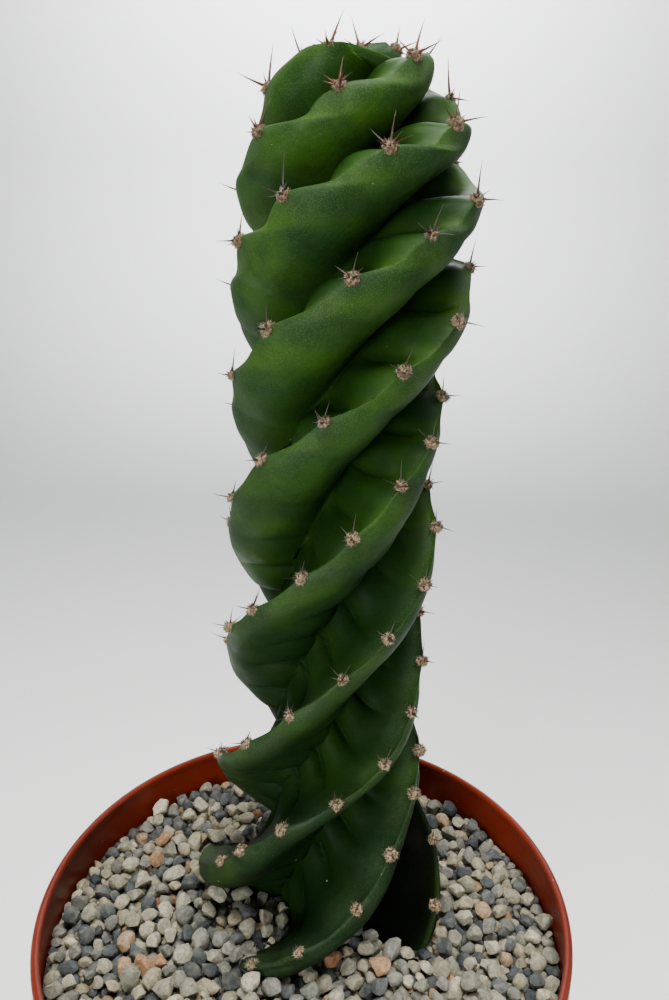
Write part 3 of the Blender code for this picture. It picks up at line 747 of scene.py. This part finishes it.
def woolTree(tree, given):
    facing, upward = (addNode(tree, "GeometryNodeInputNamedAttribute", {0: name}, data_type="FLOAT_VECTOR")
                      for name in ("facing", "upward"))
    turn = addNode(tree, "FunctionNodeAxesToRotation", {0: facing, 1: upward},
                   primary_axis="Z", secondary_axis="Y")
    size = addNode(tree, "ShaderNodeCombineXYZ", {
        0: given["Cushion Radius"], 1: given["Cushion Radius"], 2: given["Cushion Thickness"]})
    spread = addNode(tree, "FunctionNodeRandomValue", {
        2: given["Small"], 3: given["Large"], 8: given["Seed"]})
    size = addNode(tree, "ShaderNodeVectorMath", {0: size, 3: spread.outputs[1]}, operation="SCALE")
    ball = addNode(tree, "GeometryNodeMeshIcoSphere", {0: 1.0, 1: 3})
    cushions = addNode(tree, "GeometryNodeInstanceOnPoints", {
        0: given["Geometry"], 2: ball, 5: turn, 6: size})
    solid = addNode(tree, "GeometryNodeRealizeInstances", {0: cushions})
    place = addNode(tree, "GeometryNodeInputPosition")
    grain = addNode(tree, "ShaderNodeMath", {0: 1.0, 1: given["Lump Grain"]}, operation="DIVIDE")
    lift = addNode(tree, "ShaderNodeTexNoise", {"Vector": place, "Scale": grain, "Detail": 1.0})
    for operation, amount in (("SUBTRACT", 0.45), ("MULTIPLY", given["Lump"]), ("MULTIPLY", 3.0)):
        lift = addNode(tree, "ShaderNodeMath", {0: lift, 1: amount}, operation=operation)
    normal = addNode(tree, "GeometryNodeInputNormal")
    push = addNode(tree, "ShaderNodeVectorMath", {0: normal, 3: lift}, operation="SCALE")
    lumpy = addNode(tree, "GeometryNodeSetPosition", {0: solid, 3: push})

    # tufts: three-sided hairs, each tipped its own way by up to 0.9 radians
    spots = addNode(tree, "GeometryNodeDistributePointsOnFaces", {
        0: lumpy, 4: given["Tufts Per Square Metre"], 6: given["Seed"]})
    hair = addNode(tree, "GeometryNodeMeshCone", {
        0: 3, 1: 1, 2: 1, 3: 0.0, 4: given["Tuft Radius"], 5: given["Tuft Length"]}, fill_type="NONE")
    wobble = addNode(tree, "FunctionNodeRandomValue", {
        0: (-0.9, -0.9, -3.1), 1: (0.9, 0.9, 3.1), 8: given["Seed"]}, data_type="FLOAT_VECTOR")
    tipped = addNode(tree, "FunctionNodeEulerToRotation", {0: wobble.outputs[0]})
    standing = addNode(tree, "FunctionNodeRotateRotation", {0: spots.outputs["Rotation"], 1: tipped},
                       rotation_space="LOCAL")
    length = addNode(tree, "FunctionNodeRandomValue", {
        2: given["Short"], 3: given["Long"], 8: given["Seed"]})
    hairs = addNode(tree, "GeometryNodeInstanceOnPoints", {
        0: spots.outputs["Points"], 2: hair, 5: standing, 6: length.outputs[1]})
    both = addNode(tree, "GeometryNodeJoinGeometry", {0: lumpy})
    connect(tree, both, {0: hairs})
    return both


def spineTree(tree, given):
    way, size = (addNode(tree, "GeometryNodeInputNamedAttribute", {0: name}, data_type="FLOAT_VECTOR")
                 for name in ("way", "size"))
    needle = addNode(tree, "GeometryNodeMeshCone", {0: 6, 1: 4, 2: 1, 3: 0.04, 4: 1.0, 5: 1.0},
                     fill_type="TRIANGLE_FAN")
    place = addNode(tree, "GeometryNodeInputPosition")
    along = addNode(tree, "ShaderNodeSeparateXYZ", {0: place}).outputs[2]
    marked = addNode(tree, "GeometryNodeStoreNamedAttribute", {0: needle, 2: "along", 3: along},
                     data_type="FLOAT", domain="POINT")
    # the needle is one unit wide and long here, so its bow is scaled up by slenderness
    bow = along
    for operation, amount in (
        ("POWER", 2.0), ("MULTIPLY", given["Bend"]), ("MULTIPLY", given["Slenderness"]),
    ):
        bow = addNode(tree, "ShaderNodeMath", {0: bow, 1: amount}, operation=operation)
    shift = addNode(tree, "ShaderNodeCombineXYZ", {0: bow})
    bowed = addNode(tree, "GeometryNodeSetPosition", {0: marked, 3: shift})
    aim = addNode(tree, "FunctionNodeAlignRotationToVector", {2: way}, axis="Z")
    return addNode(tree, "GeometryNodeInstanceOnPoints", {0: given["Geometry"], 2: bowed, 5: aim, 6: size})


def spinePoints(s, places, pad):
    chance = np.random.default_rng(s["seed"])
    padRadius, padThickness = pad["wool"]["Cushion Radius"], pad["wool"]["Cushion Thickness"]
    spots, ways, sizes, fresh = [], [], [], []
    for seat, outward, upward, height in places:
        sideways = upward.cross(outward)
        youth = float(ease(*s["freshFrom"], height))
        full, thick = float(smoothCurve(s["length"], height)), float(smoothCurve(s["radius"], height))
        cluster = s["cluster"] if height > s["lowest"] else ()
        for clock, lean, share in cluster:
            a = math.radians(clock + chance.uniform(-s["jitter"], s["jitter"]))
            b = math.radians(lean + chance.uniform(-s["jitter"], s["jitter"]) / 2)
            flat = math.cos(a) * upward + math.sin(a) * sideways
            ways.append(math.cos(b) * outward + math.sin(b) * flat)
            length = full * share * chance.uniform(*s["lengthSpread"])
            spots.append(seat + outward * padThickness * s["rootUp"] + flat * padRadius * s["rootOut"])
            width = thick * (s["thinnest"] + (1 - s["thinnest"]) * share)
            sizes.append((width, width, length))
            fresh.append(youth * chance.uniform(*s["freshSpread"]))
        for _ in range(s["stubs"]):
            a = chance.uniform(0, math.tau)
            flat = math.cos(a) * upward + math.sin(a) * sideways
            out = flat * padRadius * chance.uniform(*s["stubOut"])
            spots.append(seat + outward * padThickness * s["stubUp"] + out)
            ways.append((outward + flat * s["stubLean"]).normalized())
            length = s["stubLength"] * chance.uniform(*s["stubSpread"])
            sizes.append((s["stubRadius"], s["stubRadius"], length))
            fresh.append(youth * s["stubFresh"])
    made = meshObject("spines", spots, [])
    storeValues(made.data, "way", ways, "FLOAT_VECTOR")
    storeValues(made.data, "size", sizes, "FLOAT_VECTOR")
    storeValues(made.data, "fresh", fresh)
    return made


places = areolePlaces(stem, areole, skinTree)
woolSeats = [seat - outward * areole["sunk"] for seat, outward, _, _ in places]
woolObject = meshObject("areole_wool", woolSeats, [])
storeValues(woolObject.data, "facing", [tuple(outward) for _, outward, _, _ in places], "FLOAT_VECTOR")
storeValues(woolObject.data, "upward", [tuple(upward) for _, _, upward, _ in places], "FLOAT_VECTOR")
growWith(woolObject, "Areole wool", woolTree, {**areole["wool"], "Material": woolFelt()})
spineObject = spinePoints(spines, places, areole)
growWith(spineObject, "Spines", spineTree, {**spines["needle"], "Material": spineHorn()})
print("areoles:", len(places), "wool faces:", len(woolObject.data.polygons),
      "spine faces:", len(spineObject.data.polygons))


# Pot: thin moulded wall, rim band and rolled lip, turned round the axis

pot = {
    "height": 0.120,
    "rimRadius": 0.0775,
    "baseRadius": 0.0530,
    "shoulderRadius": 0.0735,
    "bandHeight": 0.0250,
    "wall": 0.0014,
    "lipWidth": 0.0024,
    "lipStep": 15,
    "floor": 0.0025,
    "footEdge": 0.0020,
    # how far each corner is eased, up the outside and down the inside
    "outerEase": (0.0006, 0.0008, 0.0007, 0.0006, 0.0006),
    "innerEase": (0.0008, 0.0006, 0.0006, 0.0010),
    "segments": 192,
    "cornerSteps": 5,
    "drainHoles": 6,
    "drainRadius": 0.0045,
    "drainCircle": 0.0340,
    "drainSegments": 40,
    "sharpFrom": 38,
}


def roundedProfile(corners, steps):
    # (radius, z, rounding) corners to a profile whose corners are eased by so much
    points = []
    for i, (r, z, rounding) in enumerate(corners):
        here = Vector((r, z))
        if rounding == 0 or i in (0, len(corners) - 1):
            points.append(here)
            continue
        before, after = Vector(corners[i - 1][:2]), Vector(corners[i + 1][:2])
        start = here + (before - here).normalized() * rounding
        end = here + (after - here).normalized() * rounding
        for k in range(steps + 1):
            t = k / steps
            points.append(start * (1 - t) ** 2 + 2 * here * t * (1 - t) + end * t * t)
    return points


def potBody(p, material):
    bandFoot, wall, lip = p["height"] - p["bandHeight"], p["wall"], p["lipWidth"] / 2
    outer = (
        (p["baseRadius"] - p["footEdge"], 0), (p["baseRadius"], p["footEdge"]),
        (p["shoulderRadius"], bandFoot), (p["rimRadius"] - wall / 2, bandFoot + wall / 2),
        (p["rimRadius"], bandFoot + 2 * wall),
    )
    inner = (
        (p["rimRadius"] - wall, p["height"] - 3.2 * lip), (p["rimRadius"] - wall, bandFoot + 2 * wall),
        (p["shoulderRadius"] - wall, bandFoot), (p["baseRadius"] - wall, p["floor"]),
    )
    rolled = []
    for degrees in range(0, 181, p["lipStep"]):
        a = math.radians(degrees)
        rolled.append((p["rimRadius"] - lip + lip * math.cos(a), p["height"] - lip + lip * math.sin(a), 0))
    corners = [(0, 0, 0)]
    corners += [(*corner, eased) for corner, eased in zip(outer, p["outerEase"])]
    corners += rolled
    corners += [(*corner, eased) for corner, eased in zip(inner, p["innerEase"])]
    corners.append((0, p["floor"], 0))
    profile = roundedProfile(corners, p["cornerSteps"])[1:-1]
    made = turnedObject("nursery_pot", profile, p["segments"], material)

    drills = []
    for i in range(p["drainHoles"]):
        a = math.tau * i / p["drainHoles"]
        bore = [(p["drainRadius"], side * 2 * p["floor"]) for side in (-1, 1)]
        middle = (p["drainCircle"] * math.cos(a), p["drainCircle"] * math.sin(a))
        drills.append(turnedObject(f"drain drill {i}", bore, p["drainSegments"], None, middle))
        cut = made.modifiers.new("drain hole", "BOOLEAN")
        cut.operation = "DIFFERENCE"
        cut.solver = "MANIFOLD"
        cut.object = drills[-1]
    keepEvaluated(made)
    for drill in drills:
        bpy.data.objects.remove(drill, do_unlink=True)
    made.data.shade_smooth()
    made.data.set_sharp_from_angle(angle=math.radians(p["sharpFrom"]))
    return made


def potPlastic():
    # injection-moulded polypropylene tinted like terracotta: satin, waxy, and a little translucent,
    # so that the thin lip glows and the inner wall goes deep red
    made, tree, shader, place = newMaterial("terracotta-coloured polypropylene", {
        "IOR": 1.49, "Specular IOR Level": 0.18, "Subsurface Weight": 0.12,
        "Subsurface Radius": (1.0, 0.25, 0.08), "Subsurface Scale": 0.0020,
    })
    swirl = addNode(tree, "ShaderNodeTexNoise", {
        "Vector": place, "Scale": 28, "Detail": 3, "Roughness": 0.5})
    base = addNode(tree, "ShaderNodeValToRGB", {0: swirl}, ((0.3, "#5c1806"), (0.7, "#671d07")))
    # splashes of lime and dust, a millimetre or less
    specks = addNode(tree, "ShaderNodeTexVoronoi", {"Vector": place, "Scale": 210, "Randomness": 1.0})
    speckDot = addNode(tree, "ShaderNodeMapRange", {0: specks, 1: 0.03, 2: 0.075, 3: 0.40, 4: 0.0})
    dusty = addNode(tree, "ShaderNodeMix", {0: speckDot, 6: base, 7: srgb("#c79a82")}, data_type="RGBA")
    # drawn scuffs round the wall
    stretched = addNode(tree, "ShaderNodeMapping", {"Vector": place, "Scale": (40, 40, 1500)})
    scuffs = addNode(tree, "ShaderNodeTexNoise", {"Vector": stretched, "Scale": 1.0, "Detail": 2})
    gloss = addNode(tree, "ShaderNodeMapRange", {0: scuffs, 1: 0.3, 2: 0.7, 3: 0.30, 4: 0.44})
    moulded = addNode(tree, "ShaderNodeTexNoise", {"Vector": place, "Scale": 700, "Detail": 2})
    bump = addNode(tree, "ShaderNodeBump", {"Strength": 0.15, "Distance": 0.0001, "Height": moulded})
    connect(tree, shader, {"Base Color": dusty.outputs[2], "Roughness": gloss, "Normal": bump})
    return made


potObject = potBody(pot, potPlastic())
print("pot:", len(potObject.data.polygons), "faces")


# Grit: loose stones settled under their own weight round the stem, over a bed of fines

grit = {
    "stones": 2450,
    "radius": (0.0011, 0.0030),
    "smallShare": 1.6,
    "bedLevel": 0.1041,
    "bedBottom": 0.0986,
    "bedGap": 0.0002,
    "bedSegments": 96,
    "spawnTop": 0.1240,
    "spawnMargin": 0.004,
    "wallRadius": 0.0759,
    # settling: each step the stones fall a little, more slowly at the end, and those that touch push apart
    "settleSteps": 160,
    "pairSteps": 8,
    "pairReach": 2.2,
    "slowSteps": 15,
    "slowFall": 0.2,
    "fall": 0.00035,
    "packing": 0.93,
    "push": 0.8,
    "bedShare": 0.3,
    # within reach of the stem a stone nearer than this share of its radius is stood off it
    "stemReach": 0.055,
    "stemNear": 0.9,
    "stemStand": 0.92,
    "stemLift": 0.3,
    # each stone is stretched and flattened, tilted, shaved on so many sides and roughened
    "stone": {
        "Narrow": 0.80, "Wide": 1.42, "Flat": 0.58, "Thick": 0.92, "Cut Deep": 0.56, "Cut Light": 0.90,
        "Roughness": 0.16,
    },
    "tilt": 0.7,
    "cuts": 9,
    "sharpFrom": 26,
    "seed": 31,
}


def insideSkin(tree, here):
    # a ray straight up leaves a closed skin an odd number of times
    hits = 0
    while here is not None:
        here = tree.ray_cast(here, Vector((0, 0, 1)))[0]
        if here is not None:
            hits += 1
            here = here + Vector((0, 0, 1e-5))
    return hits % 2 == 1


def settledStones(g, tree):
    chance = np.random.default_rng(g["seed"])
    count = g["stones"]
    low, high = g["radius"]
    size = low + (high - low) * chance.random(count) ** g["smallShare"]
    away = (g["wallRadius"] - g["spawnMargin"]) * np.sqrt(chance.random(count))
    turn = chance.uniform(0, math.tau, count)
    level = chance.uniform(g["bedLevel"], g["spawnTop"], count)
    spot = np.stack([away * np.cos(turn), away * np.sin(turn), level], 1)
    clear = np.array([not insideSkin(tree, Vector(here)) for here in spot])
    spot, size = spot[clear], size[clear]
    for step in range(g["settleSteps"]):
        if step % g["pairSteps"] == 0:
            gap = np.linalg.norm(spot[:, None] - spot[None], axis=2)
            first, second = np.nonzero(np.triu(gap < g["pairReach"] * high, 1))
        slow = step >= g["settleSteps"] - g["slowSteps"]
        spot[:, 2] -= g["fall"] * (g["slowFall"] if slow else 1)
        for _ in range(2):
            apart = spot[first] - spot[second]
            distance = np.maximum(np.linalg.norm(apart, axis=1), 1e-6)
            lap = g["packing"] * (size[first] + size[second]) - distance
            push = 0.5 * np.maximum(lap, 0)[:, None] * apart / distance[:, None]
            np.add.at(spot, first, push * g["push"])
            np.add.at(spot, second, -push * g["push"])
        radial = np.hypot(spot[:, 0], spot[:, 1])
        limit = g["wallRadius"] - size
        beyond = radial > limit
        spot[beyond, :2] *= (limit[beyond] / radial[beyond])[:, None]
        spot[:, 2] = np.maximum(spot[:, 2], g["bedLevel"] + g["bedShare"] * size)
        if step % 2 == 0:
            for i in np.nonzero(np.hypot(spot[:, 0], spot[:, 1]) < g["stemReach"])[0]:
                here, normal, _, reach = tree.find_nearest(Vector(spot[i]))
                if reach < size[i] * g["stemNear"]:
                    out = Vector((normal.x, normal.y, g["stemLift"] * normal.z)).normalized()
                    spot[i] = here + out * size[i] * g["stemStand"]
    return spot, size


def stoneTree(tree, given, g):
    size, centre, number = (
        addNode(tree, "GeometryNodeInputNamedAttribute", {0: name}, data_type=kind)
        for name, kind in (("stoneSize", "FLOAT"), ("stoneCentre", "FLOAT_VECTOR"), ("stoneNumber", "INT")))
    seedOf = [addNode(tree, "ShaderNodeMath", {0: given["Seed"], 1: float(k)}, operation="ADD")
              for k in range(g["cuts"] + 6)]
    wide = addNode(tree, "FunctionNodeRandomValue", {2: given["Narrow"], 3: given["Wide"], 8: seedOf[0]})
    flat = addNode(tree, "FunctionNodeRandomValue", {2: given["Flat"], 3: given["Thick"], 8: seedOf[1]})
    shape = addNode(tree, "ShaderNodeCombineXYZ", {0: wide.outputs[1], 1: 1.0, 2: flat.outputs[1]})
    shape = addNode(tree, "ShaderNodeVectorMath", {0: shape, 3: size}, operation="SCALE")
    tilt = g["tilt"]
    turn = addNode(tree, "FunctionNodeRandomValue", {
        0: (-tilt, -tilt, -3.1), 1: (tilt, tilt, 3.1), 8: seedOf[2]}, data_type="FLOAT_VECTOR")
    turn = addNode(tree, "FunctionNodeEulerToRotation", {0: turn.outputs[0]})
    ball = addNode(tree, "GeometryNodeMeshIcoSphere", {0: 1.12, 1: 2})
    stones = addNode(tree, "GeometryNodeInstanceOnPoints", {
        0: given["Geometry"], 2: ball, 5: turn, 6: shape})
    solid = addNode(tree, "GeometryNodeRealizeInstances", {0: stones})
    # broken faces: each stone is shaved flat on several random sides
    place = addNode(tree, "GeometryNodeInputPosition")
    offset = addNode(tree, "ShaderNodeVectorMath", {0: place, 1: centre}, operation="SUBTRACT")
    for k in range(g["cuts"]):
        side = addNode(tree, "FunctionNodeRandomValue", {
            0: (-1, -1, -1), 1: (1, 1, 1), 7: number, 8: seedOf[k + 5]}, data_type="FLOAT_VECTOR")
        side = addNode(tree, "ShaderNodeVectorMath", {0: side.outputs[0]}, operation="NORMALIZE")
        depth = addNode(tree, "FunctionNodeRandomValue", {
            2: given["Cut Deep"], 3: given["Cut Light"], 7: number, 8: seedOf[k + 4]})
        depth = addNode(tree, "ShaderNodeMath", {0: depth.outputs[1], 1: size}, operation="MULTIPLY")
        reach = addNode(tree, "ShaderNodeVectorMath", {0: offset, 1: side}, operation="DOT_PRODUCT")
        spare = addNode(tree, "ShaderNodeMath", {0: reach.outputs[1], 1: depth}, operation="SUBTRACT")
        spare = addNode(tree, "ShaderNodeMath", {0: spare, 1: 0.0}, operation="MAXIMUM")
        shaved = addNode(tree, "ShaderNodeVectorMath", {0: side, 3: spare}, operation="SCALE")
        offset = addNode(tree, "ShaderNodeVectorMath", {0: offset, 1: shaved}, operation="SUBTRACT")
    swell = addNode(tree, "ShaderNodeTexNoise", {"Vector": place, "Scale": 420.0, "Detail": 1.0})
    for operation, amount in (
        ("SUBTRACT", 0.5), ("MULTIPLY", given["Roughness"]), ("MULTIPLY", 2.0), ("ADD", 1.0),
    ):
        swell = addNode(tree, "ShaderNodeMath", {0: swell, 1: amount}, operation=operation)
    offset = addNode(tree, "ShaderNodeVectorMath", {0: offset, 3: swell}, operation="SCALE")
    finished = addNode(tree, "ShaderNodeVectorMath", {0: offset, 1: centre}, operation="ADD")
    return addNode(tree, "GeometryNodeSetPosition", {0: solid, 2: finished})


def gritStone():
    # washed quarry grit: mostly grey and blue-grey, some cream, a few peach and rust, all dry and matt
    made, tree, shader, place = newMaterial("mixed quarry grit", {"Roughness": 0.88, "IOR": 1.5})
    tint = addNode(tree, "ShaderNodeAttribute", attribute_name="stoneTint").outputs["Fac"]
    palette = addNode(tree, "ShaderNodeValToRGB", {0: tint}, (
        (0.0, "#5d6162"), (0.10, "#878676"), (0.20, "#4a4f50"), (0.30, "#96917c"), (0.38, "#74746b"),
        (0.47, "#a39a80"), (0.55, "#3b4042"), (0.62, "#a8a48e"), (0.70, "#84827a"), (0.77, "#b3ae97"),
        (0.84, "#9d9884"), (0.895, "#a88d6d"), (0.925, "#c8c0a6"), (0.965, "#a57f5d"), (0.99, "#8c6242")))
    palette.color_ramp.interpolation = "CONSTANT"
    mineral = addNode(tree, "ShaderNodeTexNoise", {
        "Vector": place, "Scale": 950, "Detail": 4, "Roughness": 0.75})
    shade = addNode(tree, "ShaderNodeValToRGB", {0: mineral}, (
        (0.30, "#5a5a58"), (0.50, "#bcbcb8"), (0.68, "#ffffff")))
    speckled = addNode(tree, "ShaderNodeMix", {0: 0.75, 6: palette, 7: shade},
                       data_type="RGBA", blend_type="MULTIPLY")
    stain = addNode(tree, "ShaderNodeTexNoise", {"Vector": place, "Scale": 240, "Detail": 2})
    stained = addNode(tree, "ShaderNodeMapRange", {0: stain, 1: 0.5, 2: 0.8, 3: 0.0, 4: 0.4})
    warmed = addNode(tree, "ShaderNodeMix", {0: stained, 6: speckled.outputs[2], 7: srgb("#95917d")},
                     data_type="RGBA")
    bright = addNode(tree, "ShaderNodeHueSaturation", {"Value": 1.13, "Color": warmed.outputs[2]})
    bump = addNode(tree, "ShaderNodeBump", {"Strength": 0.6, "Distance": 0.0003, "Height": mineral})
    connect(tree, shader, {"Base Color": bright, "Normal": bump})
    return made


def crumbled(name, roughness, scale, stops, strength, distance):
    # crumbs in three tones, each standing a little proud
    made, tree, shader, place = newMaterial(name, {"Roughness": roughness})
    crumbs = addNode(tree, "ShaderNodeTexVoronoi", {"Vector": place, "Scale": scale})
    tone = addNode(tree, "ShaderNodeValToRGB", {0: crumbs.outputs["Color"]}, stops)
    bump = addNode(tree, "ShaderNodeBump", {"Strength": strength, "Distance": distance, "Height": crumbs})
    connect(tree, shader, {"Base Color": tone, "Normal": bump})
    return made


def gritObject(g, tree):
    spots, sizes = settledStones(g, tree)
    chance = np.random.default_rng(g["seed"] + 1)
    made = meshObject("grit_stones", spots, [])
    storeValues(made.data, "stoneSize", sizes)
    storeValues(made.data, "stoneCentre", spots, "FLOAT_VECTOR")
    storeValues(made.data, "stoneNumber", range(len(spots)), "INT")
    storeValues(made.data, "stoneTint", chance.random(len(spots)))
    growWith(made, "Grit stones", lambda group, given: stoneTree(group, given, g), {
        **g["stone"], "Seed": g["seed"], "Material": gritStone()})
    made.data.set_sharp_from_angle(angle=math.radians(g["sharpFrom"]))
    return made, spots, sizes


def finesBed(g):
    # crushed fines under the stones, coloured dark as painted shade where the light doesn't reach
    fines = crumbled("grit fines in painted shade", 0.95, 700, (
        (0.1, "#1d1b18"), (0.5, "#3a3733"), (0.9, "#6a665c")), 0.8, 0.0006)
    profile = [(g["wallRadius"] - g["bedGap"], z) for z in (g["bedBottom"], g["bedLevel"])]
    return turnedObject("grit_fines", profile, g["bedSegments"], fines)


stonesObject, stoneSpots, stoneSizes = gritObject(grit, skinTree)
finesObject = finesBed(grit)
print("grit:", len(stoneSpots), "stones,", len(stonesObject.data.polygons), "faces; highest stone",
      round(float((stoneSpots[:, 2] + stoneSizes).max()), 4))


# Potting mix below: the solid's shape is right, so it only gets its finish

def pottingMix():
    # bark and peat, damp and dark, with crumbs of 1 to 3 mm
    return crumbled("bark potting mix", 0.97, 450, (
        (0.1, "#1c130d"), (0.55, "#3b2a1d"), (0.9, "#5c4632")), 0.9, 0.001)


soilMix = pottingMix()
for slotPlace in bpy.data.objects["soil"].material_slots:
    slotPlace.material = soilMix
print("potting mix dressed")


# What each piece stands for

for piece, node in (
    (stemObject, "stem"), (woolObject, "stem"), (spineObject, "stem"), (potObject, "pot"),
    (stonesObject, "gravel"), (finesObject, "gravel"),
):
    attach(piece, "root")
    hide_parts(node)
